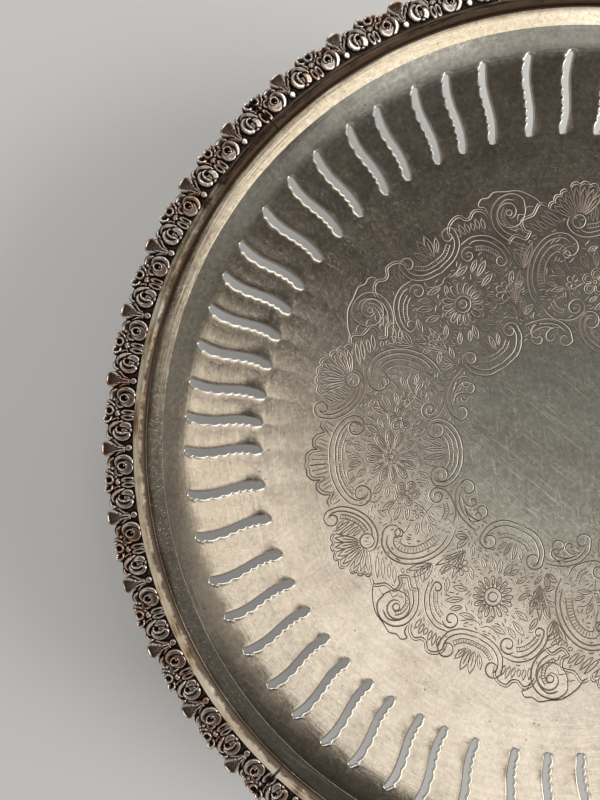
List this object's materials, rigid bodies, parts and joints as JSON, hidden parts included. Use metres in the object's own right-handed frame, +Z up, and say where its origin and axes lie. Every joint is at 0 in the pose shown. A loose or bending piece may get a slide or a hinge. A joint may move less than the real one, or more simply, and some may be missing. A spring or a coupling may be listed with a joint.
{
  "type": "pierced centrepiece",
  "caption": "Round footed metal centrepiece: a shallow pierced dish with an engraved well and a cast floral border, bolted to a spun trumpet foot.",
  "frame": {"origin": "centre of the circle that the foot ring stands on", "axes": "+Z up along the axis of the dish, stem and foot"},
  "size_m": [0.2989, 0.2991, 0.11],
  "materials": {
    "silver_sheet": "tarnished silver plate on spun brass, satin, finely scratched",
    "cast_border": "tarnished silver plate on cast brass, dark in the recesses and bright on the ridges",
    "fittings": "turned brass, dull"
  },
  "bodies": {
    "root": {"pierced_dish": "silver_sheet", "border_casting_1": "cast_border", "border_casting_2": "cast_border", "border_casting_3": "cast_border", "border_casting_4": "cast_border", "pedestal_stem": "silver_sheet", "foot_casting_1": "cast_border", "foot_casting_2": "cast_border", "foot_wire": "silver_sheet", "stem_collar": "silver_sheet", "dish_boss": "fittings", "clamp_stud": "fittings", "clamp_washer": "fittings", "clamp_nut": "fittings"}
  },
  "joints": []
}
